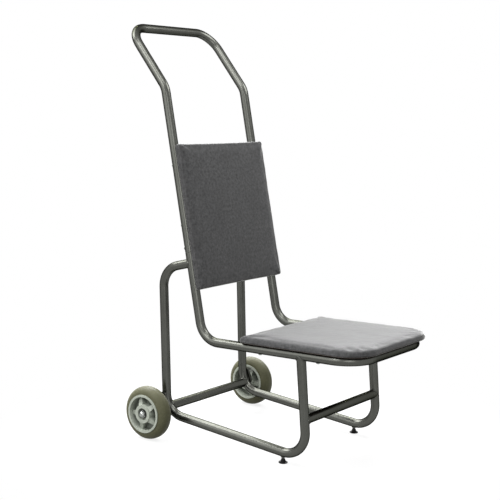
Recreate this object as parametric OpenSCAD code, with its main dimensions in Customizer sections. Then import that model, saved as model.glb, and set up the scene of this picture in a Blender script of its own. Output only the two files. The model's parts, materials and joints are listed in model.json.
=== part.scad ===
// Stacking chair trolley: a bent-tube hand truck with a padded seat and back.
// Two rear wheels turn on stub axles and two screw-in feet stand under the front.
// Millimetres, +Z up, front towards -Y, origin on the floor under the middle.
// Left is -X and right is +X, as seen from the front.

/* [Tubes] */
// Outside diameter of every frame tube
tube_d = 25; // [22:0.5:28]
// Wall thickness of the frame tubes
tube_wall = 1.5; // [1:0.1:2.5]
// Axis radius of the bends
bend_r = 62; // [50:1:72]
// Axis radius of the front corners of the seat loop
front_r = 75; // [50:1:100]
// Width over the outside of the side tubes
frame_w = 380; // [340:1:440]

/* [Handle and uprights] */
// Height of the top of the handle
handle_h = 1150; // [1090:1:1250]
// Lean of the handle arms from the vertical
handle_lean = 39.5; // [30:0.5:48]
// Drop from the top of the handle to the knee of upright and handle arm
knee_drop = 177; // [140:1:230]
// Recline of the uprights
back_lean = 11.8; // [7:0.1:16]
// Distance of the tube joint above the stub, along the upright
joint_rise = 30; // [24:1:50]
// Depth of the chamfered seam where the tubes of a joint meet
seam_d = 0.8; // [0.4:0.1:1.1]
// Length of the sleeve inside each tube joint
sleeve_len = 100; // [60:1:120]
// Wall thickness of the joint sleeve
sleeve_wall = 2; // [1.5:0.1:4]
// Distance of the joint screw above the joint
joint_screw_rise = 12; // [8:0.5:20]

/* [Seat loop] */
// Height at which the lines of upright and seat rail meet
seat_h = 287.5; // [260:0.5:320]
// Distance from that meeting point to the axis of the front bar
seat_len = 491; // [460:1:540]
// Rise of the seat rails towards the front
seat_rise = 1.3; // [0:0.1:3]

/* [Side frames] */
// Height over the seat loop of the stub that ties the side frame to the upright
stub_rise = 211; // [185:0.5:235]
// Fall of the stub towards the rear
stub_fall = 14.4; // [8:0.1:20]
// Rear lower corner, distance behind the seat meeting point
rear_corner_back = 126; // [115:1:140]
// Rear lower corner, height of the tube lines
rear_corner_h = 64.3; // [58:0.1:72]
// Backward lean of the rear leg
rear_lean = 2.6; // [0:0.1:5]
// Front lower corner, distance in front of the seat meeting point
front_corner_out = 349; // [330:1:365]
// Forward lean of the front leg
front_lean = 5.4; // [2:0.1:8]
// Place of the foot, distance behind the front lower corner
foot_back = 74; // [70:0.5:90]
// Height of the bottom rail's axis over the foot
foot_rail_h = 29; // [27:0.1:33]
// Place of the rear cross tube, angle round the rear lower bend
rear_cross_turn = 34; // [25:1:45]
// Height of the front cross tube
front_cross_h = 127; // [110:1:170]

/* [Wheels] */
// Diameter of the tyre
wheel_d = 148; // [140:1:156]
// Width of the tyre
tyre_w = 44; // [40:0.5:50]
// Thickness of the tyre from rim to tread
tyre_t = 22; // [18:0.5:26]
// Radius of the tyre shoulders
shoulder_r = 19; // [12:0.5:20]
// Distance from the outside of the frame to the middle of the wheel
wheel_out = 50.5; // [46:0.5:60]
// Distance of the axle behind the rear lower corner
axle_back = 15; // [10:0.5:20]
// Diameter of the stub axle
axle_d = 12; // [10:0.5:14]
// Width of the rim lip beside the tyre
lip_w = 2.5; // [2:0.1:4]
// Height of the rim lip over the tyre seat
lip_h = 1.5; // [1:0.1:3]
// Wall thickness of the rim
rim_wall = 4.5; // [3:0.1:6]
// Length of the hub boss
hub_len = 52; // [48:0.5:58]
// Diameter of the hub boss
boss_d = 51; // [46:0.5:56]
// Draft of the boss and of the rim's inside towards the web
hub_draft = 3; // [1:0.5:4]
// Diameter of the recess in each end of the boss
recess_d = 33; // [31:0.5:36]
// Depth of that recess
recess_depth = 14; // [10:0.5:16]
// Thickness of the middle web
web_t = 6; // [4:0.5:10]
// Number of ribs on each side of the web
rib_n = 5; // [4:1:8]
// Thickness of a rib at the boss
rib_root_t = 16; // [10:0.5:18]
// Thickness of a rib at the rim
rib_t = 8; // [4:0.5:9]
// Drop of a rib from the boss to the rim
rib_drop = 11; // [4:0.5:12]
// Turn of the first rib from the top, rearwards on the left wheel and forwards on the right
rib_turn = 21.5; // [0:0.5:36]
// Wall thickness of the bearing bush
bush_wall = 3; // [2:0.5:4]
// Diameter of the bush flange
flange_d = 26; // [24:0.5:28]
// Thickness of the bush flange
flange_t = 2; // [1.5:0.1:3]

/* [Axle fittings] */
// Thickness of the axle plate
plate_t = 8; // [6:0.5:10]
// Radius of the rounded corners of the axle plate
plate_r = 12; // [10:0.5:14]
// Diameter of the spacer sleeve
spacer_d = 26; // [20:0.5:28]
// Diameter of the axle washer
washer_d = 24; // [22:0.5:28]
// Thickness of the axle washer
washer_t = 2.5; // [1.5:0.1:4]
// Width across the flats of the cap nut
nut_af = 19; // [18:0.5:24]
// Height of the hexagon of the cap nut
nut_h = 8; // [6:0.5:12]
// Wall thickness of the dome of the cap nut
dome_wall = 2.5; // [2:0.1:4]

/* [Feet] */
// Diameter of the foot's base
foot_d = 24.5; // [22:0.5:30]
// Thickness of the foot's base
foot_base_t = 3.5; // [2.5:0.1:5]
// Diameter of the foot's cone at the base
foot_cone_d = 15.5; // [14:0.5:18]
// Diameter of the foot's cone at the top
foot_neck_d = 10.5; // [10:0.5:13]
// Diameter of the foot's stud
stud_d = 8; // [6:0.5:9]
// Outside diameter of the threaded bush in the bottom rail
foot_bush_d = 13; // [12:0.5:15]
// Height that the foot can be screwed in
foot_travel = 4; // [1:0.5:5]

/* [Back pad] */
// Overhang of the back pad past the tubes, at each side
back_side_over = 1.5; // [0:0.5:15]
// Length of the back pad along the uprights
back_len = 403; // [370:1:440]
// Start of the back pad above the seat meeting point, along the upright
back_low = 138.5; // [120:0.5:170]
// Corner radius of the back pad
back_corner_r = 7; // [7:1:40]
// Thickness of the back board
back_board_t = 9; // [7:0.5:12]
// Part of the back board's edge left bare under the cushion
back_reveal = 1; // [0.5:0.1:4]

/* [Seat pad] */
// Overhang of the seat pad past the tubes, at each side
seat_side_over = 5.5; // [0:0.5:15]
// Start of the seat pad in front of the seat meeting point, along the rail
seat_start = 134; // [110:1:160]
// Overhang of the seat pad past the front bar
seat_over = 11; // [2:0.5:20]
// Radius of the front corners of the seat pad
seat_front_r = 80; // [40:1:110]
// Radius of the rear corners of the seat pad
seat_rear_r = 10; // [8:1:40]
// Thickness of the seat board
seat_board_t = 12; // [9:0.5:15]
// Part of the seat board's edge left bare under the cushion
seat_reveal = 1; // [0.5:0.1:5]

/* [Cushions] */
// Height of the cushion's side
side_h = 18; // [15:0.5:24]
// Rise of the crown over the side
crown_h = 4; // [2:0.5:10]
// Radius of the rounded upper edge
edge_r = 6; // [4:0.5:8]
// Draw-in of the cover where it turns under
tuck = 3; // [1:0.1:4]
// Draw-in of each side between its corners
side_pull = 1.2; // [0:0.1:3]
// Distance of the board's edge inside the cushion's side
board_inset = 5; // [4.5:0.1:6]

/* [Screws] */
// Diameter of the pad screws
screw_d = 5; // [4:0.5:6]
// Diameter of the joint screws
joint_screw_d = 6; // [5:0.5:8]
// Diameter of a screw head, as a multiple of the shank
head_ratio = 2; // [1.8:0.1:2.2]
// Height of a screw head
head_h = 3; // [2:0.1:4]
// Distance of the upper back screws from the top of the back board
back_screw_top = 55; // [30:1:80]
// Distance of the lower back screws above the joint sleeve
back_screw_low = 25; // [15:1:60]
// Distance of the rear seat screws from the rear of the seat pad
seat_screw_rear = 60; // [40:1:100]
// Cover of wood left over a screw tip
tip_cover = 2; // [1:0.5:4]

/* [Fits] */
// Gap at tube ends cut to the tube that they meet
cope_gap = 0.1; // [0.05:0.01:0.15]
// Gap at welded and seated faces
weld_gap = 0.05; // [0.02:0.01:0.1]
// Radial gap of a running fit
run_gap = 0.05; // [0.02:0.01:0.1]
// Side play of the wheel on its axle
side_play = 0.3; // [0.2:0.1:0.8]
// Gap between a cushion and its board
pad_gap = 0.3; // [0.2:0.1:0.6]
// Radial gap between a screw and its clearance hole
hole_gap = 0.2; // [0.1:0.05:0.4]

/* [Hidden] */
$fn = 64;

coat = [0.37, 0.37, 0.31];
zinc = [0.78, 0.79, 0.78];
tyre_grey = [0.41, 0.40, 0.32];
hub_grey = [0.55, 0.58, 0.54];
nylon = [0.86, 0.86, 0.82];
black = [0.06, 0.06, 0.06];
fabric = [0.33, 0.33, 0.34];
plywood = [0.42, 0.27, 0.18];

tube_r = tube_d / 2;
bore_d = tube_d - 2 * tube_wall;
side_x = frame_w / 2 - tube_r;
back_w = frame_w + 2 * back_side_over;
seat_w = frame_w + 2 * seat_side_over;

// Side view, u forward from the seat meeting point and z up
knee_h = handle_h - knee_drop;
knee_u = -(knee_h - seat_h) * tan(back_lean);
handle_z = handle_h - tube_r;
handle_u = knee_u - (handle_z - knee_h) * tan(handle_lean);
front_bar_z = seat_h + seat_len * tan(seat_rise);
stub_h = seat_h + stub_rise;
stub_s = stub_rise / cos(back_lean);
stub_u = -stub_s * sin(back_lean);
rear_u = -rear_corner_back;
// Length of the stub, where its line meets the line of the rear leg
stub_run = (stub_u - rear_u + (stub_h - rear_corner_h) * tan(rear_lean))
  / (1 + tan(stub_fall) * tan(rear_lean));
leg_top_u = stub_u - stub_run;
leg_top_z = stub_h - stub_run * tan(stub_fall);
foot_u = front_corner_out - foot_back;
rail_fall = atan((rear_corner_h - foot_rail_h) / (foot_u - rear_u));
front_corner_z = foot_rail_h - foot_back * tan(rail_fall);
// Top of the front leg, where its line meets the seat rail
front_leg_u = (front_corner_out - (seat_h - front_corner_z) * tan(front_lean))
  / (1 + tan(seat_rise) * tan(front_lean));
front_leg_z = seat_h + front_leg_u * tan(seat_rise);
front_leg_s = front_leg_u / cos(seat_rise);
front_cross_u = front_corner_out - (front_cross_h - front_corner_z) * tan(front_lean);

// Seat pad along its rail, from the meeting point
rail_len = seat_len / cos(seat_rise);
seat_end = rail_len + tube_r + seat_over;
seat_pad_len = seat_end - seat_start;
seat_base = tube_r + weld_gap + seat_reveal;
wide_h = tuck + 1;
back_base = tube_r + weld_gap + back_reveal;

// Middle of the trolley from front to back
front_u = seat_end * cos(seat_rise) - (seat_base + wide_h) * sin(seat_rise);
mid_u = (front_u + handle_u - tube_r) / 2;
function at(x, u, z) = [x, mid_u - u, z];

// Paths of the tube axes
joint_s = stub_s + joint_rise;
joint_cut = 0.15;
function upright_at(x, s) = at(x, -s * sin(back_lean), seat_h + s * cos(back_lean));
handle_path = [
  upright_at(-side_x, joint_s + joint_cut), at(-side_x, knee_u, knee_h),
  at(-side_x, handle_u, handle_z), at(side_x, handle_u, handle_z),
  at(side_x, knee_u, knee_h), upright_at(side_x, joint_s + joint_cut)
];
handle_bends = [bend_r, bend_r, bend_r, bend_r];
seat_path = [
  upright_at(-side_x, joint_s - joint_cut), at(-side_x, 0, seat_h),
  at(-side_x, seat_len, front_bar_z), at(side_x, seat_len, front_bar_z),
  at(side_x, 0, seat_h), upright_at(side_x, joint_s - joint_cut)
];
seat_bends = [bend_r, front_r, front_r, bend_r];
function side_path(x) = [
  at(x, stub_u, stub_h), at(x, leg_top_u, leg_top_z), at(x, rear_u, rear_corner_h),
  at(x, front_corner_out, front_corner_z), at(x, front_leg_u, front_leg_z)
];
side_bends = [bend_r, bend_r, bend_r];

// Rear lower bend, its centre and the points round it in the side view
rear_turn = 90 - rear_lean - rail_fall;
rear_tangent = bend_r * tan(rear_turn / 2);
rear_bend_u = rear_u - rear_tangent * sin(rear_lean) + bend_r * cos(rear_lean);
rear_bend_z = rear_corner_h + rear_tangent * cos(rear_lean) + bend_r * sin(rear_lean);
function rear_arc(a) = [
  rear_bend_u - bend_r * cos(rear_lean + a), rear_bend_z - bend_r * sin(rear_lean + a)
];

// Wheel and axle, outwards from the frame
axle_u = rear_u - axle_back;
axle_z = wheel_d / 2;
rim_r = wheel_d / 2 - tyre_t;
wheel_x = frame_w / 2 + wheel_out;
seat_depth = hub_len / 2 - recess_depth;
bush_d = axle_d + 2 * bush_wall;
plate_x = frame_w / 2 + weld_gap;
spacer_x = plate_x + plate_t;
inner_face_x = wheel_x - seat_depth - flange_t;
outer_face_x = wheel_x + seat_depth + flange_t;
washer_x = outer_face_x + side_play;
nut_x = washer_x + washer_t;
dome_r = axle_d / 2 + dome_wall;
axle_end = nut_h + 2.5;

// Feet
rail_under = foot_rail_h - tube_r / cos(rail_fall);
bush_lip = 1;
foot_slack = 0.5;
foot_h = rail_under - bush_lip - foot_travel - foot_slack;

// Screws
back_screw_s = [joint_s + sleeve_len / 2 + back_screw_low, back_low + back_len - back_screw_top];
seat_screw_s = [seat_start + seat_screw_rear, (front_leg_s + tube_r + rail_len - front_r) / 2];
joint_screw_s = joint_s + joint_screw_rise;

// Helpers for directions
function unit(v) = v / norm(v);
function turn(a, b) = acos(max(-1, min(1, a * b)));
function heading(pts, i) = unit(pts[i + 1] - pts[i]);
function tangent(pts, radii, i) =
  radii[i - 1] * tan(turn(heading(pts, i - 1), heading(pts, i)) / 2);

// Puts children into a frame with the given origin and axes
module place(o, x, y, z) {
  multmatrix([
    [x[0], y[0], z[0], o[0]],
    [x[1], y[1], z[1], o[1]],
    [x[2], y[2], z[2], o[2]],
    [0, 0, 0, 1]
  ]) children();
}

// Round bar from p to q
module bar(p, q, d) {
  w = unit(q - p);
  a = abs(w[2]) < 0.9 ? unit(cross([0, 0, 1], w)) : unit(cross([1, 0, 0], w));
  place(p, a, cross(w, a), w) cylinder(d = d, h = norm(q - p));
}

// Round bar along a path of straight runs and true-radius bends
// The runs reach a little into the bends, which are a hair thinner, as a drawn bend is
run_in = 0.3;
bend_thin = 0.04;
module bent_bar(pts, radii, d) {
  last = len(pts) - 1;
  for (i = [0 : last - 1]) {
    w = heading(pts, i);
    from = i == 0 ? 0 : tangent(pts, radii, i) - run_in;
    to = i == last - 1 ? 0 : tangent(pts, radii, i + 1) - run_in;
    bar(pts[i] + from * w, pts[i + 1] - to * w, d);
  }
  for (i = [1 : last - 1]) {
    a = heading(pts, i - 1);
    b = heading(pts, i);
    n = unit(b - (a * b) * a);
    r = radii[i - 1];
    centre = pts[i] - tangent(pts, radii, i) * a + r * n;
    place(centre, -n, a, cross(-n, a))
      rotate_extrude(angle = turn(a, b)) translate([r, 0]) circle(d = d - bend_thin);
  }
}

// Hollow bent tube, its bore open at both ends
module bent_tube(pts, radii) {
  last = len(pts) - 1;
  open = [for (i = [0 : last])
    i == 0 ? pts[0] - tube_wall * heading(pts, 0)
    : i == last ? pts[last] + tube_wall * heading(pts, last - 1)
    : pts[i]];
  difference() {
    bent_bar(pts, radii, tube_d);
    bent_bar(open, radii, bore_d);
  }
}

// Frame on the upright: z along it, y rearwards
module on_upright(x, s) {
  translate(upright_at(x, s)) rotate([-back_lean, 0, 0]) children();
}

// Frame on the seat rail: z square to it, y rearwards
module on_rail(x, s) {
  translate(at(x, s * cos(seat_rise), seat_h + s * sin(seat_rise)))
    rotate([-seat_rise, 0, 0]) children();
}

// Frame on the right-hand axle: z outwards along +X from the middle of the trolley
module on_axle(x) {
  translate(at(x, axle_u, axle_z)) rotate([0, 90, 0]) children();
}

module on_side(left) {
  if (left) mirror([1, 0, 0]) children();
  else children();
}

// Domed screw with a hexagon socket: shank along +z, underside of the head at 0
module dome_screw(d, l) {
  r = d * head_ratio / 2;
  rim = head_h / 3;
  rise = head_h - rim;
  ball = (r * r + rise * rise) / (2 * rise);
  difference() {
    union() {
      cylinder(d = d, h = l);
      translate([0, 0, -rim]) cylinder(r = r, h = rim);
      intersection() {
        translate([0, 0, -head_h]) cylinder(r = r, h = rise);
        translate([0, 0, ball - head_h]) sphere(r = ball);
      }
    }
    translate([0, 0, -head_h - 1]) cylinder(d = d * 0.75, h = head_h * 0.6 + 1, $fn = 6);
  }
}

// Flat outline with two radii, from y = 0 to y = l
module panel_outline(w, l, r0, r1) {
  translate([-w / 2, r0]) square([w, l - r0 - r1]);
  translate([r0 - w / 2, 0]) square([w - 2 * r0, r0 + 1]);
  translate([r1 - w / 2, l - r1 - 1]) square([w - 2 * r1, r1 + 1]);
  for (sx = [-1, 1]) {
    translate([sx * (w / 2 - r0), r0]) circle(r = r0);
    translate([sx * (w / 2 - r1), l - r1]) circle(r = r1);
  }
}

// Rings of a cushion: the outline drawn in by d, its sides pulled in by pull, its corners softened
// A ring that goes around a board keeps wholly outside the round of its corners
arc_n = 8;
edge_n = 6;
least_r = 2;
function arc_at(i, around) =
  !around ? 90 * i / arc_n : i == 0 ? 0 : i == arc_n ? 90 : 90 * (i - 0.5) / (arc_n - 1);
function arc_reach(i, around) = around && i > 0 && i < arc_n ? 1 / cos(45 / (arc_n - 1)) : 1;
function arc_run(c, r, a0, around) = [for (i = [0 : arc_n])
  let (a = a0 + arc_at(i, around)) c + r * arc_reach(i, around) * [cos(a), sin(a)]];
function edge_run(p, q, pull) = [for (i = [1 : edge_n - 1])
  let (t = i / edge_n, dir = unit(q - p))
  p + t * (q - p) + 4 * t * (1 - t) * pull * [-dir[1], dir[0]]];
function corner_r(r, d, half, soft) =
  max(r - d, least_r) * (1 - soft) + soft * 0.9 * half;
function cushion_ring(w, l, r0, r1, d, pull, soft, around) =
  let (
    a = w / 2 - d,
    half = min(a, l / 2 - d),
    q0 = corner_r(r0, d, half, soft),
    q1 = corner_r(r1, d, half, soft),
    top = l - d - q1,
    low = d + q0
  )
  concat(
    arc_run([a - q1, top], q1, 0, around),
    edge_run([a - q1, l - d], [q1 - a, l - d], pull),
    arc_run([q1 - a, top], q1, 90, around),
    edge_run([-a, top], [-a, low], pull),
    arc_run([q0 - a, low], q0, 180, around),
    edge_run([q0 - a, d], [a - q0, d], pull),
    arc_run([a - q0, low], q0, 270, around),
    edge_run([a, low], [a, top], pull)
  );

// Crowned cushion over a board of the given depth, from its pocket round to its crown
module cushion_form(w, l, r0, r1, pocket) {
  inset = board_inset - pad_gap;
  reach = 0.9 * min(w, l) / 2;
  rings = concat(
    [[inset, pocket, 0, 0, true], [inset, 0, 0, 0, true], [tuck, 0, side_pull, 0]],
    [[tuck * 0.3, tuck * 0.35, side_pull, 0], [0, wide_h, side_pull, 0]],
    [for (i = [0 : 4])
      let (a = 22.5 * i) [edge_r * (1 - cos(a)), side_h - edge_r * (1 - sin(a)), side_pull, 0]],
    [for (i = [1 : 6])
      let (q = i / 6) [
        edge_r + (reach - edge_r) * q,
        side_h + crown_h * (1 - pow(1 - q, 2.2)),
        side_pull * (1 - q),
        q
      ]]
  );
  count = 4 * (arc_n + 1) + 4 * (edge_n - 1);
  top = len(rings) - 1;
  points = concat(
    [for (g = rings) for (p = cushion_ring(w, l, r0, r1, g[0], g[2], g[3], g[4] == true)) [p[0], p[1], g[1]]],
    [[0, l / 2, pocket], [0, l / 2, side_h + crown_h]]
  );
  foot = len(points) - 2;
  crown = len(points) - 1;
  faces = concat(
    [for (i = [0 : count - 1]) [foot, i, (i + 1) % count]],
    [for (k = [0 : top - 1]) for (i = [0 : count - 1])
      let (j = (i + 1) % count) [k * count + i, (k + 1) * count + i, (k + 1) * count + j]],
    [for (k = [0 : top - 1]) for (i = [0 : count - 1])
      let (j = (i + 1) % count) [k * count + i, (k + 1) * count + j, k * count + j]],
    [for (i = [0 : count - 1]) [top * count + i, crown, top * count + (i + 1) % count]]
  );
  polyhedron(points = points, faces = faces, convexity = 4);
}

// Groove that chamfers both tube ends at the joint of an upright
module seam_groove(x) {
  over = 1;
  on_upright(x, joint_s) rotate_extrude()
    polygon([[tube_r - seam_d, 0], [tube_r + over, -seam_d - over], [tube_r + over, seam_d + over]]);
}

// Upper loop: handle bar, arms, knees and the upper part of the uprights
module handle_tube() {
  color(coat) difference() {
    bent_tube(handle_path, handle_bends);
    for (x = [-side_x, side_x]) {
      seam_groove(x);
      for (s = back_screw_s)
        on_upright(x, s) rotate([90, 0, 0])
          cylinder(d = screw_d + 2 * hole_gap, h = 2 * tube_d, center = true);
      on_upright(x, joint_screw_s) rotate([-90, 0, 0])
        cylinder(d = joint_screw_d + 2 * hole_gap, h = tube_d);
    }
  }
}

// Lower loop: lower uprights, seat bends, seat rails and front bar
module seat_tube() {
  color(coat) difference() {
    bent_tube(seat_path, seat_bends);
    for (x = [-side_x, side_x]) {
      seam_groove(x);
      for (s = seat_screw_s)
        on_rail(x, s) cylinder(d = screw_d + 2 * hole_gap, h = 2 * tube_d, center = true);
    }
  }
}

// Side frame: stub, rear leg, bottom rail and front leg, its ends cut to the tubes they meet
module side_frame(left) {
  x = left ? -side_x : side_x;
  cut_d = tube_d + 2 * cope_gap;
  color(coat) difference() {
    bent_tube(side_path(x), side_bends);
    on_upright(x, stub_s) cylinder(d = cut_d, h = 3 * tube_d, center = true);
    on_rail(x, front_leg_s) rotate([90, 0, 0]) cylinder(d = cut_d, h = 3 * tube_d, center = true);
    translate(at(x, foot_u, foot_rail_h - tube_d))
      cylinder(d = foot_bush_d + 2 * weld_gap, h = tube_d);
  }
}

// Cross tube between the side frames, its ends cut to them
module cross_tube(u, z) {
  color(coat) difference() {
    bent_tube([at(-side_x, u, z), at(side_x, u, z)], []);
    for (x = [-side_x, side_x])
      bent_bar(side_path(x), side_bends, tube_d + 2 * cope_gap);
  }
}

module rear_cross_tube() {
  p = rear_arc(rear_cross_turn);
  cross_tube(p[0], p[1]);
}

module front_cross_tube() {
  cross_tube(front_cross_u, front_cross_h);
}

// Sleeve inside the joint of the upright
module joint_sleeve(left) {
  x = left ? -side_x : side_x;
  outer = bore_d - 2 * weld_gap;
  color(coat) difference() {
    on_upright(x, joint_s) cylinder(d = outer, h = sleeve_len, center = true);
    on_upright(x, joint_s) cylinder(d = outer - 2 * sleeve_wall, h = sleeve_len + 2, center = true);
    on_upright(x, joint_screw_s) rotate([-90, 0, 0])
      cylinder(d = joint_screw_d + 2 * run_gap, h = tube_d);
  }
}

module joint_screws() {
  color(zinc)
    for (x = [-side_x, side_x])
      on_upright(x, joint_screw_s) translate([0, tube_r + weld_gap, 0]) rotate([90, 0, 0])
        dome_screw(joint_screw_d, tube_wall + sleeve_wall + 2);
}

// Outline round three or more corners, given anticlockwise, with its edges r outside them
function side_angle(p, q) = atan2(p[0] - q[0], q[1] - p[1]);
function outline_round(pts, r, steps) = [
  for (i = [0 : len(pts) - 1])
    let (
      before = pts[(i + len(pts) - 1) % len(pts)],
      after = pts[(i + 1) % len(pts)],
      start = side_angle(before, pts[i]),
      sweep = (side_angle(pts[i], after) - start + 720) % 360
    )
    for (k = [0 : steps])
      pts[i] + r * [cos(start + sweep * k / steps), sin(start + sweep * k / steps)]
];

// Axle plate, welded flat against the outside of the rear lower bend
plate_span = [0.05, 0.36];
module axle_plate(left) {
  upper = rear_arc(rear_turn * plate_span[0]);
  lower = rear_arc(rear_turn * plate_span[1]);
  corners = [[-axle_u, axle_z], [-upper[0], upper[1]], [-lower[0], lower[1]]];
  color(coat) on_side(left) difference() {
    translate([plate_x, mid_u, 0]) rotate([90, 0, 90]) linear_extrude(plate_t)
      polygon(outline_round(corners, plate_r, 8));
    on_axle(plate_x - 1) cylinder(d = axle_d + 2 * weld_gap, h = plate_t + 2);
  }
}

// Stub axle, from the plate's inner face to the inside of the cap nut
module stub_axle(left) {
  color(zinc) on_side(left) on_axle(plate_x) cylinder(d = axle_d, h = nut_x + axle_end - plate_x);
}

module ring(d, bore, h) {
  difference() {
    cylinder(d = d, h = h);
    translate([0, 0, -1]) cylinder(d = bore, h = h + 2);
  }
}

// Spacer that keeps the wheel off the axle plate
module spacer_sleeve(left) {
  length = inner_face_x - side_play - spacer_x;
  color(zinc) on_side(left) on_axle(spacer_x) ring(spacer_d, axle_d + 2 * run_gap, length);
}

module axle_washer(left) {
  color(black) on_side(left) on_axle(washer_x) ring(washer_d, axle_d + 2 * run_gap, washer_t);
}

// Hexagon cap nut with a blind hole and a domed top
module cap_nut(left) {
  color(zinc) on_side(left) on_axle(nut_x) difference() {
    union() {
      cylinder(d = nut_af / cos(30), h = nut_h, $fn = 6);
      intersection() {
        translate([0, 0, nut_h - 1]) cylinder(r = dome_r, h = 2 * dome_r);
        translate([0, 0, nut_h]) sphere(r = dome_r);
      }
    }
    translate([0, 0, -1]) cylinder(d = axle_d + 2 * run_gap, h = axle_end + 1.5);
  }
}

// Tyre with a rounded tread, seated between the rim lips
module tyre(left) {
  seat = rim_r + weld_gap;
  outer = wheel_d / 2;
  half = tyre_w / 2;
  color(tyre_grey) on_side(left) on_axle(wheel_x) rotate_extrude() difference() {
    union() {
      translate([0, shoulder_r - half]) square([outer, tyre_w - 2 * shoulder_r]);
      translate([0, -half]) square([outer - shoulder_r, tyre_w]);
      for (sy = [-1, 1])
        translate([outer - shoulder_r, sy * (half - shoulder_r)]) circle(r = shoulder_r);
    }
    translate([-1, -half - 1]) square([seat + 1, tyre_w + 2]);
  }
}

// Wheel hub: rim with lips, middle web, ribs on both sides and a recessed boss
module wheel_hub(left) {
  half = tyre_w / 2 + weld_gap;
  rim_half = half + lip_w;
  rim_in = rim_r - rim_wall;
  boss_r = boss_d / 2;
  boss_half = hub_len / 2;
  core_r = bush_d / 4;
  rib_top = boss_half - 2;
  rib_in = boss_r - 2;
  first = 180 - (left ? rib_turn : -rib_turn);
  color(hub_grey) on_side(left) on_axle(wheel_x) difference() {
    union() {
      rotate_extrude() {
        polygon([
          [rim_r, -rim_half], [rim_r, rim_half], [rim_in, rim_half],
          [rim_in - hub_draft, 0], [rim_in, -rim_half]
        ]);
        for (y = [-rim_half, half])
          translate([rim_in + rim_wall / 2, y]) square([rim_wall / 2 + lip_h, lip_w]);
        translate([core_r, -web_t / 2]) square([rim_in - core_r, web_t]);
        polygon([
          [core_r, -boss_half], [boss_r, -boss_half], [boss_r + hub_draft, 0],
          [boss_r, boss_half], [core_r, boss_half]
        ]);
      }
      for (i = [0 : rib_n - 1])
        rotate(first + 360 * i / rib_n) intersection() {
          translate([0, 0, -boss_half]) linear_extrude(hub_len) polygon([
            [rib_in, -rib_root_t / 2], [rim_in, -rib_t / 2], [rim_in, rib_t / 2], [rib_in, rib_root_t / 2]
          ]);
          rotate([90, 0, 0]) translate([0, 0, -rib_root_t]) linear_extrude(2 * rib_root_t) polygon([
            [rib_in - 1, -rib_top], [rim_in + 1, rib_drop - rib_top],
            [rim_in + 1, rib_top - rib_drop], [rib_in - 1, rib_top]
          ]);
        }
    }
    cylinder(d = bush_d + 2 * weld_gap, h = hub_len + 2, center = true);
    for (z = [-hub_len, seat_depth])
      translate([0, 0, z]) cylinder(d = recess_d, h = hub_len - seat_depth);
  }
}

// Flanged bushes pressed into both ends of the hub's bore
module hub_bushes(left) {
  bush_len = seat_depth - 1;
  color(nylon) on_side(left) on_axle(wheel_x) for (m = [0, 1])
    mirror([0, 0, m]) difference() {
      union() {
        translate([0, 0, seat_depth - bush_len]) cylinder(d = bush_d, h = bush_len + flange_t);
        translate([0, 0, seat_depth]) cylinder(d = flange_d, h = flange_t);
      }
      cylinder(d = axle_d + 2 * run_gap, h = hub_len);
    }
}

// Threaded bush welded into the underside of the bottom rail
module foot_bush(left) {
  x = left ? -side_x : side_x;
  low = rail_under - bush_lip;
  color(coat) translate(at(x, foot_u, low)) ring(foot_bush_d, stud_d + 2 * run_gap, foot_rail_h - low);
}

// Threaded stud of the foot
module foot_stud(left) {
  x = left ? -side_x : side_x;
  color(black) translate(at(x, foot_u, foot_base_t)) cylinder(d = stud_d, h = foot_rail_h - foot_base_t);
}

// Foot with a flat base, a rounded rim and a cone around its stud
module foot_pad(left) {
  x = left ? -side_x : side_x;
  base_r = foot_d / 2;
  edge = foot_base_t / 2;
  color(black) translate(at(x, foot_u, 0)) difference() {
    rotate_extrude() {
      square([base_r - edge, foot_base_t]);
      intersection() {
        translate([base_r - edge, edge]) circle(r = edge);
        square([base_r, foot_base_t]);
      }
      polygon([
        [0, edge], [foot_cone_d / 2, edge], [foot_cone_d / 2, foot_base_t],
        [foot_neck_d / 2, foot_h], [0, foot_h]
      ]);
    }
    translate([0, 0, foot_base_t]) cylinder(d = stud_d + 2 * weld_gap, h = foot_h);
  }
}

// Plywood board, drilled from its outer face for the screws
module pad_board(w, l, r0, r1, t, holes) {
  difference() {
    translate([0, board_inset, 0]) linear_extrude(t)
      panel_outline(w - 2 * board_inset, l - 2 * board_inset, r0 - board_inset, r1 - board_inset);
    for (x = [-side_x, side_x])
      for (y = holes)
        translate([x, y, -1]) cylinder(d = screw_d + 2 * run_gap, h = t - tip_cover + 1 + pad_gap);
  }
}

module back_board() {
  holes = [for (s = back_screw_s) s - back_low];
  r = back_corner_r;
  color(plywood) on_upright(0, back_low) rotate([90, 0, 0]) translate([0, 0, tube_r + weld_gap])
    pad_board(back_w, back_len, r, r, back_board_t, holes);
}

module back_cushion() {
  r = back_corner_r;
  color(fabric) on_upright(0, back_low) rotate([90, 0, 0]) translate([0, 0, back_base])
    cushion_form(back_w, back_len, r, r, back_board_t - back_reveal + pad_gap);
}

module back_screws() {
  color(zinc)
    for (x = [-side_x, side_x])
      for (s = back_screw_s)
        on_upright(x, s) translate([0, tube_r + weld_gap, 0]) rotate([90, 0, 0])
          dome_screw(screw_d, tube_d + back_board_t - tip_cover);
}

module seat_board() {
  holes = [for (s = seat_screw_s) s - seat_start];
  color(plywood) on_rail(0, seat_start) rotate(180) translate([0, 0, tube_r + weld_gap])
    pad_board(seat_w, seat_pad_len, seat_rear_r, seat_front_r, seat_board_t, holes);
}

module seat_cushion() {
  color(fabric) on_rail(0, seat_start) rotate(180) translate([0, 0, seat_base])
    cushion_form(seat_w, seat_pad_len, seat_rear_r, seat_front_r, seat_board_t - seat_reveal + pad_gap);
}

module seat_screws() {
  color(zinc)
    for (x = [-side_x, side_x])
      for (s = seat_screw_s)
        on_rail(x, s) translate([0, 0, -tube_r - weld_gap])
          dome_screw(screw_d, tube_d + seat_board_t - tip_cover);
}

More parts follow.
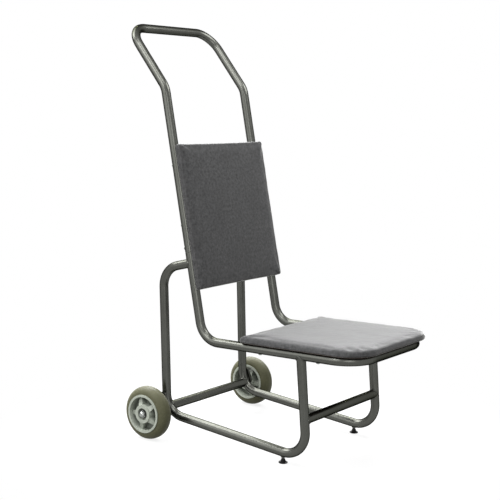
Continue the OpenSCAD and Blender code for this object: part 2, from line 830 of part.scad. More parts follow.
handle_tube();
seat_tube();
side_frame(true);  // side_frame_left
side_frame(false);  // side_frame_right
rear_cross_tube();
front_cross_tube();
joint_sleeve(true);  // joint_sleeve_left
joint_sleeve(false);  // joint_sleeve_right
joint_screws();
axle_plate(true);  // axle_plate_left
axle_plate(false);  // axle_plate_right
stub_axle(true);  // stub_axle_left
stub_axle(false);  // stub_axle_right
spacer_sleeve(true);  // spacer_sleeve_left
spacer_sleeve(false);  // spacer_sleeve_right
axle_washer(true);  // axle_washer_left
axle_washer(false);  // axle_washer_right
cap_nut(true);  // cap_nut_left
cap_nut(false);  // cap_nut_right
tyre(true);  // tyre_left
tyre(false);  // tyre_right
wheel_hub(true);  // wheel_hub_left
wheel_hub(false);  // wheel_hub_right
hub_bushes(true);  // hub_bushes_left
hub_bushes(false);  // hub_bushes_right
foot_bush(true);  // foot_bush_left
foot_bush(false);  // foot_bush_right
foot_stud(true);  // foot_stud_left
foot_stud(false);  // foot_stud_right
foot_pad(true);  // foot_pad_left
foot_pad(false);  // foot_pad_right
back_board();
back_cushion();
back_screws();
seat_board();
seat_cushion();
seat_screws();
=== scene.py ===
import json
import math

import bpy
from mathutils import Matrix, Vector, noise


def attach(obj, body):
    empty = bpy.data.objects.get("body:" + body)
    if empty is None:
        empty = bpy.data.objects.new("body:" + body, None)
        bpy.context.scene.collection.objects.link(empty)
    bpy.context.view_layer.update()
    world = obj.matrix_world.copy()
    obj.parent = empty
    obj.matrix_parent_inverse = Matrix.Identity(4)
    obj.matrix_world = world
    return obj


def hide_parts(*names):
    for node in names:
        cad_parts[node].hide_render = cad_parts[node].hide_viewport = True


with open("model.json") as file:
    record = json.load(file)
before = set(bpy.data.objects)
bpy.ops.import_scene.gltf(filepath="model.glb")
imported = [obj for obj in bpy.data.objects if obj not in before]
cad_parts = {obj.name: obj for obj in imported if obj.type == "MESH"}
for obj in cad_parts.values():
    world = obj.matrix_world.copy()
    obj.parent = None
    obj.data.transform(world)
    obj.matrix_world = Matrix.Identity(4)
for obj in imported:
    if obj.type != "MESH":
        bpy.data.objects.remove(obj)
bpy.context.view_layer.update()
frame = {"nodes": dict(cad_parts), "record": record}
nodes = frame["nodes"]

# Sizes of the trolley, in metres and degrees, as the solids have them.
# A pair is a place in the side view: how far in front of the point where the lines of upright
# and seat rail meet, and how high over the floor.
TUBE_R = 0.0125
SIDE_X = 0.1775
MID_U = 0.111392
SEAT_H = 0.2875
BACK_LEAN = 11.8
SEAT_RISE = 1.3
STUB_S = 0.215555
STUB_FALL = 14.4
BEND_R = 0.062
REAR_BEND = (-0.0665247, 0.121304)
REAR_LEAN = 2.6
REAR_TURN = 82.369
REAR_CROSS = (-0.116299, 0.0843382)
FRONT_LEG_S = 0.323339
FRONT_CORNER = (0.349, 0.0224858)
FRONT_LEAN = 5.4
FRONT_CROSS = (0.33912, 0.127)
PLATE_X = 0.19005
WHEEL_X = 0.2405
BACK_LOW = 0.1385
BACK_W, BACK_LEN, BACK_CORNER_R = 0.383, 0.403, 0.007
BACK_BOARD_T = 0.009
SEAT_START = 0.134
SEAT_W, SEAT_LEN, SEAT_REAR_R, SEAT_FRONT_R = 0.391, 0.380626, 0.010, 0.080
SEAT_BOARD_T = 0.012
BOARD_REVEAL = 0.001
PAD_GAP = 0.0003
WELD_GAP = 0.00005

# Weld beads: radius and place of the beads, and the ripple and unevenness of their surface
BEAD_R = 0.0021
BEAD_STEPS = 140
BEAD_SIDES = 10
BEAD_TILT = 0.8
RIPPLE, RIPPLE_PITCH = 0.09, 0.0027
UNEVEN, UNEVEN_SCALE = 0.12, 140
TAPER_START, TAPER_STEPS = 0.25, 3.0
PLATE_BEAD_R = 0.0017
PLATE_BEAD_STEPS = 45
PLATE_BEAD_FROM, PLATE_BEAD_SPAN = 0.02, 0.36
PLATE_BEAD_OFF = 0.006
PLATE_BEAD_SINK = 0.0009

# Cloth of the cushions: how far the simulation may move a point, and the small unevenness
CLOTH_FRAMES = 20
CLOTH_CAP = 0.0022
DIP, DIP_SCALE = 0.0004, 16
FINE_DIP, FINE_DIP_SCALE = 0.00022, 55
PUCKER, PUCKER_SCALE, PUCKER_RIM = 0.0015, 30, 0.026
PLEAT, PLEAT_FADE, PLEAT_REACH = 0.0011, 0.035, 0.12
PLEAT_START, PLEAT_WAVES, PLEAT_STEP, PLEAT_SWIRL = 0.012, 15, 1.7, 30
FACE_FROM, FACE_FADE = 0.004, 0.01

# Camera, solved from the photograph of 500 x 500 pixels
IMAGE_PX = 500
FOCAL_PX = 1136.62
SENSOR_MM = 36.0
CAMERA_YAW, CAMERA_PITCH, CAMERA_ROLL = 53.52, -7.60, 1.05
CAMERA_X, CAMERA_U, CAMERA_Z = -2.55588, 1.91292, 0.94725
CLIP_END = 100

# Stage: a white floor and world, duller for the light that they send to the trolley
WHITE = (1, 1, 1, 1)
FLOOR_HALF, FLOOR_Z = 30.0, -0.0003
FLOOR_COLOR = (0.1, 0.1, 0.088, 1)
SHADOW_COLOR = (0.18, 0.18, 0.18, 1)
NEAR_GLOW, FAR_GLOW = 0.8, 1.0
FADE_FROM, FADE_TO = 0.4, 0.8
SKY_LIGHT, SKY_SEEN = 0.14, 1.0

# Lamps: name, place, target, size in metres and power in watts
LAMPS = [
    ("back_sky", (0.4, 2.2, 2.8), (0, 0, 0.4), (4.2, 1.8), 300),
    ("right_back", (2.6, 1.4, 2.4), (0, 0.2, 0.8), (1.4, 1.8), 85),
    ("left", (-3.4, 1.1, 1.9), (0, 0, 0.5), (3.6, 3.0), 62),
    ("front", (-2.5, -2.2, 1.3), (0, 0, 0.75), (1.6, 1.6), 25),
    ("left_high", (-2.6, 0.25, 2.75), (-0.1, 0.3, 1.0), (1.2, 1.2), 36),
    ("front_top", (-1.0, -0.55, 3.1), (0, 0.3, 0.9), (1.2, 0.9), 24),
    ("right_near", (0.55, -0.6, 1.7), (0, 0, 0.63), (0.7, 0.7), 13),
]


def at(x, u, z):
    """Point at x, in the side view's place u and z."""
    return Vector((x, MID_U - u, z))


def sind(a):
    return math.sin(math.radians(a))


def cosd(a):
    return math.cos(math.radians(a))


def smooth(x):
    x = min(max(x, 0.0), 1.0)
    return x * x * (3 - 2 * x)


# Material nodes

def node(tree, kind, values=None, **props):
    n = tree.nodes.new(kind)
    for key, value in props.items():
        setattr(n, key, value)
    for key, value in (values or {}).items():
        n.inputs[key].default_value = value
    return n


def link(tree, output, socket):
    tree.links.new(output, socket)


def feed(tree, value, socket):
    """Link an output to a socket, or set the socket to a number or colour."""
    if hasattr(value, "is_output"):
        link(tree, value, socket)
    elif socket.type == "RGBA":
        socket.default_value = (*value, 1)
    else:
        socket.default_value = value


def empty_tree(owner, output):
    """Node tree of a material or world with nothing but its output, and the socket for the surface."""
    owner.use_nodes = True
    tree = owner.node_tree
    tree.nodes.clear()
    return tree, node(tree, output).inputs["Surface"]


def new_material(name, values=None):
    mat = bpy.data.materials.new(name)
    tree, surface = empty_tree(mat, "ShaderNodeOutputMaterial")
    bsdf = node(tree, "ShaderNodeBsdfPrincipled", values)
    link(tree, bsdf.outputs["BSDF"], surface)
    return mat, tree, bsdf


def coords(tree, scale=(1, 1, 1)):
    place = node(tree, "ShaderNodeTexCoord")
    scaled = node(tree, "ShaderNodeMapping", {"Scale": scale})
    link(tree, place.outputs["Object"], scaled.inputs["Vector"])
    return scaled.outputs["Vector"]


def noise_tex(tree, vec, scale, detail=3.0, rough=0.55):
    n = node(tree, "ShaderNodeTexNoise", {"Scale": scale, "Detail": detail, "Roughness": rough})
    link(tree, vec, n.inputs["Vector"])
    return n.outputs["Fac"]


def ramp(tree, fac, stops):
    n = node(tree, "ShaderNodeValToRGB")
    while len(n.color_ramp.elements) < len(stops):
        n.color_ramp.elements.new(0.5)
    for element, (place, color) in zip(n.color_ramp.elements, stops):
        element.position = place
        element.color = (*color, 1)
    link(tree, fac, n.inputs["Fac"])
    return n.outputs["Color"]


def remap(tree, fac, to, source=(0.3, 0.7)):
    n = node(tree, "ShaderNodeMapRange", {"From Min": source[0], "From Max": source[1],
                                          "To Min": to[0], "To Max": to[1]})
    link(tree, fac, n.inputs["Value"])
    return n.outputs["Result"]


def math_node(tree, operation, a, b=0.0):
    n = node(tree, "ShaderNodeMath", operation=operation)
    for socket, value in zip(n.inputs, (a, b)):
        feed(tree, value, socket)
    return n.outputs["Value"]


def mix_color(tree, fac, a, b):
    n = node(tree, "ShaderNodeMix", data_type="RGBA")
    for socket, value in ((n.inputs[0], fac), (n.inputs[6], a), (n.inputs[7], b)):
        feed(tree, value, socket)
    return n.outputs[2]


def mix_shader(tree, fac, a, b):
    n = node(tree, "ShaderNodeMixShader")
    for socket, output in zip(n.inputs, (fac, a, b)):
        link(tree, output, socket)
    return n.outputs[0]


def paint(tree, bsdf, base, rough):
    link(tree, base, bsdf.inputs["Base Color"])
    link(tree, rough, bsdf.inputs["Roughness"])


def bump(tree, bsdf, height, distance, strength, after=None):
    n = node(tree, "ShaderNodeBump", {"Strength": strength, "Distance": distance})
    link(tree, height, n.inputs["Height"])
    if after:
        link(tree, after, n.inputs["Normal"])
    link(tree, n.outputs["Normal"], bsdf.inputs["Normal"])
    return n.outputs["Normal"]


# Materials, one for each slot of the record

def coat_material():
    """Bronze-grey metallic powder coat, with fine orange peel, flake and a few dull scuffs."""
    mat, t, b = new_material("frame_coat", {"Metallic": 1.0,
                                            "Specular Tint": (0.05, 0.05, 0.045, 1)})
    v = coords(t)
    broad = noise_tex(t, v, 9, detail=4)
    flake = noise_tex(t, v, 2600, detail=1)
    scuff = noise_tex(t, coords(t, (60, 60, 9)), 5, detail=5, rough=0.7)
    peel = noise_tex(t, v, 620, detail=2)
    base = ramp(t, broad, [(0.25, (0.073, 0.0745, 0.0665)), (0.75, (0.093, 0.095, 0.086))])
    base = mix_color(t, remap(t, flake, (0.0, 0.22), (0.55, 0.8)), base, (0.14, 0.142, 0.13))
    paint(t, b, base, remap(t, scuff, (0.27, 0.36), (0.4, 0.75)))
    n = bump(t, b, peel, distance=0.0001, strength=0.14)
    bump(t, b, scuff, distance=0.0001, strength=0.15, after=n)
    return mat


def zinc_material():
    """Zinc plate with a light brushed grain."""
    mat, t, b = new_material("zinc", {"Metallic": 1.0})
    cloud = noise_tex(t, coords(t), 90, detail=4)
    grain = noise_tex(t, coords(t, (40, 700, 700)), 3, detail=3)
    base = ramp(t, cloud, [(0.3, (0.22, 0.23, 0.22)), (0.7, (0.36, 0.37, 0.36))])
    paint(t, b, base, remap(t, grain, (0.2, 0.36)))
    bump(t, b, grain, distance=0.0001, strength=0.2)
    return mat


def tyre_material():
    """Olive-grey moulded rubber, with fine rings round the tread and some dust."""
    mat, t, b = new_material("tyre_rubber", {"Specular IOR Level": 0.25, "Sheen Weight": 0.05})
    v = coords(t)
    cloud = noise_tex(t, v, 38, detail=5, rough=0.6)
    dust = noise_tex(t, v, 160, detail=4, rough=0.7)
    rings = noise_tex(t, coords(t, (650, 6, 6)), 1, detail=2)
    grain = noise_tex(t, v, 900, detail=3)
    base = ramp(t, cloud, [(0.3, (0.071, 0.071, 0.037)), (0.7, (0.097, 0.097, 0.054))])
    base = mix_color(t, remap(t, dust, (0.0, 0.35), (0.5, 0.75)), base, (0.15, 0.15, 0.098))
    base = mix_color(t, remap(t, rings, (0.0, 0.45), (0.45, 0.75)), base, (0.07, 0.07, 0.04))
    paint(t, b, base, remap(t, cloud, (0.5, 0.68)))
    n = bump(t, b, grain, distance=0.0002, strength=0.35)
    n = bump(t, b, rings, distance=0.0004, strength=0.3, after=n)
    bump(t, b, cloud, distance=0.0006, strength=0.2, after=n)
    return mat


def hub_material():
    """Satin moulded grey plastic, with painted shade darkening it down in the pockets beside the web.
    """
    mat, t, b = new_material("hub_plastic")
    v = coords(t)
    cloud = noise_tex(t, v, 45, detail=4)
    place = node(t, "ShaderNodeSeparateXYZ")
    link(t, v, place.inputs[0])
    # Painted shade: near the wheel's middle plane, down in the pockets beside the web, the colour is
    # mixed toward a dark grey-green that stands in for the shade falling there.
    from_middle = math_node(t, "SUBTRACT", math_node(t, "ABSOLUTE", place.outputs["X"]), WHEEL_X)
    from_web = math_node(t, "ABSOLUTE", from_middle)
    recess_shade = math_node(t, "ADD", from_web, math_node(t, "MULTIPLY", cloud, 0.004))
    base = ramp(t, cloud, [(0.3, (0.36, 0.39, 0.335)), (0.7, (0.43, 0.46, 0.4))])
    base = mix_color(t, remap(t, recess_shade, (0.85, 0.0), (0.006, 0.023)), base, (0.1, 0.112, 0.092))
    paint(t, b, base, remap(t, noise_tex(t, v, 240, detail=4), (0.32, 0.48)))
    bump(t, b, noise_tex(t, v, 1400, detail=2), distance=0.0001, strength=0.3)
    return mat


def nylon_material():
    """Pale natural nylon, slightly translucent."""
    mat, t, b = new_material("bush_nylon", {"Subsurface Weight": 0.1,
                                            "Subsurface Radius": (0.002, 0.002, 0.002)})
    v = coords(t)
    cloud = noise_tex(t, v, 120, detail=3)
    base = ramp(t, cloud, [(0.3, (0.6, 0.59, 0.52)), (0.7, (0.7, 0.7, 0.64))])
    paint(t, b, base, remap(t, noise_tex(t, v, 400, detail=3), (0.4, 0.55)))
    bump(t, b, noise_tex(t, v, 900, detail=2), distance=0.0001, strength=0.2)
    return mat


def foot_material():
    """Black moulded plastic with a fine pebbled skin."""
    mat, t, b = new_material("foot_plastic", {"Specular IOR Level": 0.08})
    v = coords(t)
    cloud = noise_tex(t, v, 150, detail=4)
    base = ramp(t, cloud, [(0.35, (0.006, 0.006, 0.006)), (0.75, (0.014, 0.014, 0.013))])
    paint(t, b, base, remap(t, noise_tex(t, v, 500, detail=3), (0.42, 0.6)))
    bump(t, b, noise_tex(t, v, 1500, detail=2), distance=0.0002, strength=0.3)
    return mat


def black_oxide_material():
    """Black oxide steel, slightly worn."""
    mat, t, b = new_material("black_oxide", {"Metallic": 0.6})
    v = coords(t)
    cloud = noise_tex(t, v, 200, detail=4)
    base = ramp(t, cloud, [(0.3, (0.018, 0.018, 0.019)), (0.75, (0.05, 0.05, 0.051))])
    paint(t, b, base, remap(t, noise_tex(t, v, 600, detail=3), (0.35, 0.5)))
    bump(t, b, noise_tex(t, v, 1200, detail=2), distance=0.0001, strength=0.3)
    return mat


def fabric_material():
    """Dark grey woven upholstery, mottled, with a soft nap that catches light at a low angle."""
    mat, t, b = new_material("fabric", {"Specular IOR Level": 0.08, "Sheen Weight": 1.0,
                                        "Sheen Roughness": 0.35, "Sheen Tint": WHITE})
    v = coords(t)
    mottle = noise_tex(t, v, 130, detail=4, rough=0.65)
    cloud = noise_tex(t, v, 14, detail=3)
    warp = noise_tex(t, coords(t, (900, 120, 500)), 1, detail=2)
    weft = noise_tex(t, coords(t, (120, 900, 500)), 1, detail=2)
    weave = math_node(t, "ADD", math_node(t, "MULTIPLY", warp, 0.5),
                      math_node(t, "MULTIPLY", weft, 0.5))
    base = ramp(t, mottle, [(0.34, (0.044, 0.044, 0.045)), (0.68, (0.1, 0.1, 0.102))])
    base = mix_color(t, remap(t, cloud, (0.0, 0.35), (0.35, 0.7)), base, (0.045, 0.045, 0.046))
    base = mix_color(t, remap(t, weave, (0.0, 0.4), (0.5, 0.72)), base, (0.135, 0.135, 0.138))
    paint(t, b, base, remap(t, mottle, (0.82, 0.95)))
    n = bump(t, b, weave, distance=0.0003, strength=0.6)
    bump(t, b, mottle, distance=0.0008, strength=0.35, after=n)
    return mat


def plywood_material():
    """Red-brown stained plywood, with its grain across the trolley."""
    mat, t, b = new_material("plywood")
    grain = noise_tex(t, coords(t, (6, 70, 70)), 4, detail=5, rough=0.65)
    base = ramp(t, grain, [(0.3, (0.05, 0.028, 0.019)), (0.55, (0.085, 0.05, 0.034)),
                           (0.75, (0.125, 0.078, 0.053))])
    paint(t, b, base, remap(t, grain, (0.45, 0.62)))
    bump(t, b, grain, distance=0.0004, strength=0.35)
    return mat


MATERIALS = {
    "frame_coat": coat_material(),
    "zinc": zinc_material(),
    "tyre_rubber": tyre_material(),
    "hub_plastic": hub_material(),
    "bush_nylon": nylon_material(),
    "foot_plastic": foot_material(),
    "black_oxide": black_oxide_material(),
    "fabric": fabric_material(),
    "plywood": plywood_material(),
}
for part in frame["record"]["subparts"]:
    data = nodes[part["node"]].data
    data.materials.clear()
    data.materials.append(MATERIALS[part["material_slot"]])


def add_mesh(name, verts, faces, slot):
    mesh = bpy.data.meshes.new(name)
    mesh.from_pydata([tuple(p) for p in verts], [], faces)
    mesh.update()
    mesh.polygons.foreach_set("use_smooth", [True] * len(mesh.polygons))
    mesh.materials.append(MATERIALS[slot])
    obj = bpy.data.objects.new(name, mesh)
    bpy.context.scene.collection.objects.link(obj)
    return obj


# Weld beads: a curve is a list of points and a list of directions that lead out of the weld

def bead_mesh(points, outwards, radius, closed):
    """Rippled bead along a curve. An open one tapers at its ends."""
    verts, faces = [], []
    count = len(points)
    run = 0.0
    for i, p in enumerate(points):
        before = points[(i - 1) % count] if closed or i else p
        after = points[(i + 1) % count] if closed or i < count - 1 else p
        along = (after - before).normalized()
        side = outwards[i] - along * along.dot(outwards[i])
        side.normalize()
        up = along.cross(side)
        run += (after - p).length
        taper = 1.0 if closed else smooth(min(i, count - 1 - i) / TAPER_STEPS + TAPER_START)
        ripple = RIPPLE * math.sin(run / RIPPLE_PITCH * 2 * math.pi)
        r = radius * taper * (1 + ripple + UNEVEN * noise.noise(p * UNEVEN_SCALE))
        for k in range(BEAD_SIDES):
            a = 2 * math.pi * k / BEAD_SIDES
            verts.append(p + r * (math.cos(a) * side + math.sin(a) * up))
    for i in range(count if closed else count - 1):
        this, following = i * BEAD_SIDES, (i + 1) % count * BEAD_SIDES
        for k in range(BEAD_SIDES):
            m = (k + 1) % BEAD_SIDES
            faces.append((this + k, this + m, following + m, following + k))
    if not closed:
        faces.append(tuple(reversed(range(BEAD_SIDES))))
        faces.append(tuple((count - 1) * BEAD_SIDES + k for k in range(BEAD_SIDES)))
    return verts, faces


def cope_curve(origin, branch, main):
    """Where a tube along branch, from origin, meets the tube along main through origin."""
    branch, main = branch.normalized(), main.normalized()
    across = Vector((1, 0, 0))
    square = branch.cross(across)
    points, outwards = [], []
    for i in range(BEAD_STEPS):
        a = 2 * math.pi * i / BEAD_STEPS
        off = TUBE_R * (math.cos(a) * across + math.sin(a) * square)
        d = branch - main * branch.dot(main)
        o = off - main * off.dot(main)
        qa, qb, qc = d.dot(d), 2 * d.dot(o), o.dot(o) - TUBE_R ** 2
        s = (-qb + math.sqrt(max(qb * qb - 4 * qa * qc, 0.0))) / (2 * qa)
        points.append(origin + s * branch + off)
        outwards.append(off.normalized() + BEAD_TILT * branch)
    return points, outwards


def cross_curve(side, centre, depth):
    """Where a cross tube along X, at centre in the side view, meets a side frame."""
    points, outwards = [], []
    for i in range(BEAD_STEPS):
        a = 2 * math.pi * i / BEAD_STEPS
        u, z = centre[0] + TUBE_R * math.cos(a), centre[1] + TUBE_R * math.sin(a)
        x = SIDE_X - math.sqrt(max(TUBE_R ** 2 - depth(u, z) ** 2, 0.0))
        points.append(at(side * x, u, z))
        outwards.append(Vector((-BEAD_TILT * side, -math.cos(a), math.sin(a))))
    return points, outwards


def bend_depth(u, z):
    """Distance from the axis of the rear lower bend, in the side view."""
    return math.hypot(u - REAR_BEND[0], z - REAR_BEND[1]) - BEND_R


def leg_depth(u, z):
    """Distance from the axis of the front leg, in the side view."""
    return (u - FRONT_CORNER[0]) * cosd(FRONT_LEAN) + (z - FRONT_CORNER[1]) * sind(FRONT_LEAN)


def plate_curve(side, offset):
    """Along the rear lower bend where it lies on the axle plate, at offset from the bend's axis."""
    points, outwards = [], []
    x, r, out = side * (PLATE_X - PLATE_BEAD_SINK), BEND_R + offset, math.copysign(1, offset)
    for i in range(PLATE_BEAD_STEPS + 1):
        a = REAR_LEAN + REAR_TURN * (PLATE_BEAD_FROM + PLATE_BEAD_SPAN * i / PLATE_BEAD_STEPS)
        points.append(at(x, REAR_BEND[0] - r * cosd(a), REAR_BEND[1] - r * sind(a)))
        outwards.append(Vector((0, out * cosd(a), -out * sind(a))))
    return points, outwards


def add_bead(name, curve, radius, closed):
    verts, faces = bead_mesh(*curve, radius, closed)
    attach(add_mesh(name, verts, faces, "frame_coat"), "frame")


upright = Vector((0, sind(BACK_LEAN), cosd(BACK_LEAN)))
rail = Vector((0, -cosd(SEAT_RISE), sind(SEAT_RISE)))
stub = Vector((0, cosd(STUB_FALL), -sind(STUB_FALL)))
leg = Vector((0, -sind(FRONT_LEAN), -cosd(FRONT_LEAN)))
for name, side in (("left", -1), ("right", 1)):
    seat_point = at(side * SIDE_X, 0, SEAT_H)
    curves = {
        "stub_weld": cope_curve(seat_point + STUB_S * upright, stub, upright),
        "leg_weld": cope_curve(seat_point + FRONT_LEG_S * rail, leg, rail),
        "rear_cross_weld": cross_curve(side, REAR_CROSS, bend_depth),
        "front_cross_weld": cross_curve(side, FRONT_CROSS, leg_depth),
    }
    for key, curve in curves.items():
        add_bead(f"{key}_{name}", curve, BEAD_R, True)
    for key, offset in (("inner", -PLATE_BEAD_OFF), ("outer", PLATE_BEAD_OFF)):
        add_bead(f"plate_weld_{key}_{name}", plate_curve(side, offset), PLATE_BEAD_R, False)


# Cushions

class Pad:
    """Cover of a cushion: nested rings over the crown, rows down the sides, a pocket for the board.

    It lies on z = 0, with its first edge on y = 0. The corners on that edge have the radius first_r,
    the other two last_r. A ring's four sides run from the middle of a corner to the next.
    """

    side_h = 0.018
    crown = 0.0026
    crown_power = 2.2
    rings = 38
    pull = 0.0012
    tuck = 0.003
    inset = 0.0047
    least_r = 0.002
    round_share = 0.9
    edge_step = 15
    held_rows = 5

    def __init__(self, width, length, first_r, last_r, pocket, edge_r):
        self.w, self.l, self.r0, self.r1 = width, length, first_r, last_r
        self.pocket, self.edge_r = pocket, edge_r

    def outline(self, side, t, inset, soft):
        """Point at t, from 0 to 1, on a side of the outline drawn in by inset and rounded by soft."""
        a, lo, hi = self.w / 2 - inset, inset, self.l - inset
        half = min(a, (hi - lo) / 2)
        q = [max(r - inset, self.least_r) * (1 - soft) + soft * self.round_share * half
             for r in (self.r0, self.r1)]
        corner = [(a - q[1], hi - q[1], q[1]), (q[1] - a, hi - q[1], q[1]),
                  (q[0] - a, lo + q[0], q[0]), (a - q[0], lo + q[0], q[0])]
        (x0, y0, r0), (x1, y1, r1) = corner[side], corner[(side + 1) % 4]
        first, last = r0 * math.pi / 4, r1 * math.pi / 4
        straight = abs(x1 - x0) if side in (0, 2) else abs(y1 - y0)
        s = t * (first + straight + last)
        facing = 90 * side + 90
        if s < first:
            ang = facing - 45 + math.degrees(s / r0)
            return Vector((x0 + r0 * cosd(ang), y0 + r0 * sind(ang)))
        if s > first + straight:
            ang = facing + math.degrees((s - first - straight) / r1)
            return Vector((x1 + r1 * cosd(ang), y1 + r1 * sind(ang)))
        p0 = Vector((x0 + r0 * cosd(facing), y0 + r0 * sind(facing)))
        p1 = Vector((x1 + r1 * cosd(facing), y1 + r1 * sind(facing)))
        return p0.lerp(p1, (s - first) / max(straight, 1e-9))

    def ring(self, n, inset, height, pull, soft):
        """Ring of 8 n points, with each side drawn in by pull at its middle."""
        out = []
        for side in range(4):
            facing = 90 * side + 90
            for i in range(2 * n):
                t = i / (2 * n)
                p = self.outline(side, t, inset, soft)
                draw = pull * 4 * t * (1 - t)
                out.append(Vector((p.x - draw * cosd(facing), p.y - draw * sind(facing), height)))
        return out

    def crown_ring(self, k):
        q = 1 - k / self.rings
        reach = min(self.w, self.l) / 2
        inset = self.edge_r + (reach - self.edge_r) * q
        height = self.side_h + self.crown * (1 - (1 - q) ** self.crown_power)
        return self.ring(k, inset, height, self.pull * (1 - q), q)

    def side_rows(self):
        """Inset, height and pull of each row: round the edge, down, tucked under, into the pocket."""
        edge_r, tuck, pull = self.edge_r, self.tuck, self.pull
        rows = []
        for a in range(90 - self.edge_step, -1, -self.edge_step):
            rows.append((edge_r * (1 - cosd(a)), self.side_h - edge_r * (1 - sind(a)), pull))
        low = self.side_h - edge_r
        return rows + [
            (0.0, low * 0.8, pull), (0.0, low * 0.6, pull),
            (tuck * 0.12, 0.0026, pull), (tuck * 0.5, 0.0007, pull), (tuck, 0.0, pull * 0.5),
            (self.inset, 0.0, 0.0), (self.inset, self.pocket, 0.0),
        ]

    def mesh(self):
        """Points, faces, and the points that the cloth simulation holds."""
        n, around = self.rings, 8 * self.rings
        verts, faces, starts = [], [], []

        def put(ring):
            starts.append(len(verts))
            verts.extend(ring)

        put([Vector((0, self.l / 2, self.side_h + self.crown))])
        for k in range(1, n + 1):
            put(self.crown_ring(k))
        for k in range(1, n + 1):
            faces += crown_faces(starts[k - 1], starts[k], k)
        for inset, height, pull in self.side_rows():
            put(self.ring(n, inset, height, pull, 0.0))
        for upper, lower in zip(starts[n:-1], starts[n + 1:]):
            for i in range(around):
                j = (i + 1) % around
                faces.append((upper + i, lower + i, lower + j, upper + j))
        last, middle = starts[-1], len(verts)
        verts.append(Vector((0, self.l / 2, self.pocket)))
        for i in range(0, around, 2):
            faces.append((last + i, middle, last + (i + 2) % around, last + i + 1))
        return verts, faces, list(range(starts[-self.held_rows], len(verts)))


def crown_faces(inner, outer, k):
    """Faces between ring k and the one inside it, given the first point of each."""
    faces = []
    many, few = 8 * k, max(8 * (k - 1), 1)
    for side in range(4):
        p, q = 2 * k * side, 2 * (k - 1) * side
        faces.append((outer + (p - 1) % many, outer + p, outer + (p + 1) % many, inner + q))
        for i in range(1, 2 * k - 1):
            faces.append((outer + p + i, outer + (p + i + 1) % many,
                          inner + (q + i) % few, inner + (q + i - 1) % few))
    return faces


def inflate(obj, held):
    """Cloth under light pressure, held along its tucked edge, with each point's movement capped."""
    group = obj.vertex_groups.new(name="held")
    group.add(held, 1.0, "REPLACE")
    start = [v.co.copy() for v in obj.data.vertices]
    cloth = obj.modifiers.new("cloth", "CLOTH")
    s = cloth.settings
    s.quality = 6
    s.mass = 0.3
    s.tension_stiffness = s.compression_stiffness = 40
    s.shear_stiffness = 20
    s.bending_stiffness = 8
    s.use_pressure = True
    s.uniform_pressure_force = 4
    s.vertex_group_mass = "held"
    s.effector_weights.gravity = 0
    cloth.point_cache.frame_start, cloth.point_cache.frame_end = 1, CLOTH_FRAMES
    scene = bpy.context.scene
    for f in range(1, CLOTH_FRAMES + 1):
        scene.frame_set(f)
    shaped = obj.evaluated_get(bpy.context.evaluated_depsgraph_get()).to_mesh()
    moved = [v.co.copy() for v in shaped.vertices]
    obj.modifiers.remove(cloth)
    obj.vertex_groups.clear()
    scene.frame_set(1)
    for v, p, q in zip(obj.data.vertices, start, moved):
        d = q - p
        if d.length > 1e-9:
            d *= CLOTH_CAP * math.tanh(d.length / CLOTH_CAP) / d.length
        v.co = p + d


def cloth_noise(p, scale, seed):
    return noise.noise(Vector((p.x * scale, p.y * scale, seed)))


def wrinkle(obj, pad, seed):
    """Small unevenness of stretched cloth: soft dips, puckers along the rim, pleats at the corners."""
    corners = [Vector((sx * pad.w / 2, y)) for sx in (-1, 1) for y in (0, pad.l)]
    for v in obj.data.vertices:
        p = v.co
        face = smooth((p.z - FACE_FROM) / FACE_FADE)
        dip = (DIP * cloth_noise(p, DIP_SCALE, seed)
               + FINE_DIP * cloth_noise(p, FINE_DIP_SCALE, seed + 3))
        rim = smooth(1 - min(pad.w / 2 - abs(p.x), p.y, pad.l - p.y) / PUCKER_RIM)
        pucker = PUCKER * rim * cloth_noise(p, PUCKER_SCALE, seed + 7)
        pleats = 0.0
        for i, c in enumerate(corners):
            d = Vector((p.x, p.y)) - c
            far = d.length
            if far < PLEAT_REACH:
                size = PLEAT * math.exp(-far / PLEAT_FADE) * smooth(far / PLEAT_START)
                turn = math.atan2(d.y, d.x) * PLEAT_WAVES
                pleats += size * math.sin(turn + PLEAT_STEP * i + seed + PLEAT_SWIRL * far)
        p.z += face * (dip + pleats + pucker)


def cushion(name, pad, origin, turn, seed):
    verts, faces, held = pad.mesh()
    obj = add_mesh(name + "_cover", verts, faces, "fabric")
    inflate(obj, held)
    wrinkle(obj, pad, seed)
    obj.matrix_world = Matrix.Translation(origin) @ turn
    sub = obj.modifiers.new("fine", "SUBSURF")
    sub.levels = sub.render_levels = 1
    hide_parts(name)
    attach(obj, "frame")


def turned(angle, axis):
    return Matrix.Rotation(math.radians(angle), 4, axis)


PAD_BASE = TUBE_R + WELD_GAP + BOARD_REVEAL
meeting = at(0, 0, SEAT_H)
back_pad = Pad(BACK_W, BACK_LEN, BACK_CORNER_R, BACK_CORNER_R,
               BACK_BOARD_T - BOARD_REVEAL + PAD_GAP, edge_r=0.0055)
back_out = Vector((0, -cosd(BACK_LEAN), sind(BACK_LEAN)))
back_origin = meeting + BACK_LOW * upright + PAD_BASE * back_out
cushion("back_cushion", back_pad, back_origin, turned(-BACK_LEAN, "X") @ turned(90, "X"), seed=2.0)

seat_pad = Pad(SEAT_W, SEAT_LEN, SEAT_REAR_R, SEAT_FRONT_R,
               SEAT_BOARD_T - BOARD_REVEAL + PAD_GAP, edge_r=0.0105)
seat_out = Vector((0, sind(SEAT_RISE), cosd(SEAT_RISE)))
seat_origin = meeting + SEAT_START * rail + PAD_BASE * seat_out
cushion("seat_cushion", seat_pad, seat_origin, turned(-SEAT_RISE, "X") @ turned(180, "Z"), seed=5.0)


# Camera, floor, world and lamps

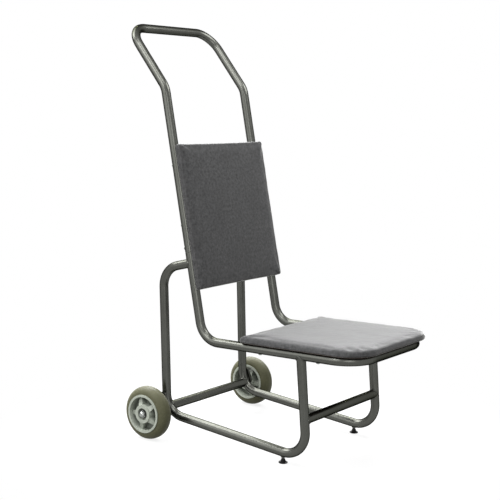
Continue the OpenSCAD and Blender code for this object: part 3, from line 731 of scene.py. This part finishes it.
def set_camera():
    yaw, pitch, roll = CAMERA_YAW, CAMERA_PITCH, CAMERA_ROLL
    ahead = Vector((sind(yaw) * cosd(pitch), cosd(yaw) * cosd(pitch), sind(pitch)))
    level = ahead.cross(Vector((0, 0, 1))).normalized()
    above = level.cross(ahead)
    right = cosd(roll) * level + sind(roll) * above
    up = cosd(roll) * above - sind(roll) * level
    cam = bpy.data.cameras.new("camera")
    cam.sensor_fit = "HORIZONTAL"
    cam.sensor_width = SENSOR_MM
    cam.lens = SENSOR_MM * FOCAL_PX / IMAGE_PX
    cam.clip_end = CLIP_END
    obj = bpy.data.objects.new("camera", cam)
    m = Matrix((right, up, -ahead)).transposed().to_4x4()
    m.translation = at(CAMERA_X, CAMERA_U, CAMERA_Z)
    obj.matrix_world = m
    bpy.context.scene.collection.objects.link(obj)
    bpy.context.scene.camera = obj


def seen_ray(tree):
    """1 for a ray that shows the background: to the camera, or by gloss or transmission."""
    path = node(tree, "ShaderNodeLightPath")
    seen = math_node(tree, "MAXIMUM", path.outputs["Is Camera Ray"], path.outputs["Is Glossy Ray"])
    return math_node(tree, "MAXIMUM", seen, path.outputs["Is Transmission Ray"])


def floor_material():
    """White with a soft shadow near the trolley where it is seen, dull for the light it sends back."""
    mat = bpy.data.materials.new("floor")
    t, surface = empty_tree(mat, "ShaderNodeOutputMaterial")
    plain = node(t, "ShaderNodeBsdfDiffuse", {"Color": FLOOR_COLOR})
    shade = node(t, "ShaderNodeBsdfDiffuse", {"Color": SHADOW_COLOR})
    glow = node(t, "ShaderNodeEmission", {"Color": WHITE, "Strength": NEAR_GLOW})
    near = node(t, "ShaderNodeAddShader")
    link(t, shade.outputs[0], near.inputs[0])
    link(t, glow.outputs[0], near.inputs[1])
    far = node(t, "ShaderNodeEmission", {"Color": WHITE, "Strength": FAR_GLOW})
    place = node(t, "ShaderNodeNewGeometry")
    away = node(t, "ShaderNodeVectorMath", operation="LENGTH")
    link(t, place.outputs["Position"], away.inputs[0])
    fade = node(t, "ShaderNodeMapRange", {"From Min": FADE_FROM, "From Max": FADE_TO},
                interpolation_type="SMOOTHSTEP")
    link(t, away.outputs["Value"], fade.inputs["Value"])
    shown = mix_shader(t, fade.outputs["Result"], near.outputs[0], far.outputs[0])
    link(t, mix_shader(t, seen_ray(t), plain.outputs[0], shown), surface)
    return mat


def set_floor():
    mesh = bpy.data.meshes.new("floor")
    s, z = FLOOR_HALF, FLOOR_Z
    mesh.from_pydata([(-s, -s, z), (s, -s, z), (s, s, z), (-s, s, z)], [], [(0, 1, 2, 3)])
    mesh.materials.append(floor_material())
    floor = bpy.data.objects.new("floor", mesh)
    bpy.context.scene.collection.objects.link(floor)


def set_world():
    world = bpy.data.worlds.new("world")
    bpy.context.scene.world = world
    t, surface = empty_tree(world, "ShaderNodeOutputWorld")
    dim = node(t, "ShaderNodeBackground", {"Color": WHITE, "Strength": SKY_LIGHT})
    white = node(t, "ShaderNodeBackground", {"Color": WHITE, "Strength": SKY_SEEN})
    link(t, mix_shader(t, seen_ray(t), dim.outputs[0], white.outputs[0]), surface)


def area_light(name, place, target, size, watts):
    data = bpy.data.lights.new(name, "AREA")
    data.shape = "RECTANGLE"
    data.size, data.size_y = size
    data.energy = watts
    obj = bpy.data.objects.new(name, data)
    aim = (Vector(target) - Vector(place)).to_track_quat("-Z", "Y")
    obj.matrix_world = Matrix.Translation(place) @ aim.to_matrix().to_4x4()
    bpy.context.scene.collection.objects.link(obj)


set_camera()
set_floor()
set_world()
for lamp in LAMPS:
    area_light(*lamp)

bpy.context.scene.view_settings.view_transform = "Standard"
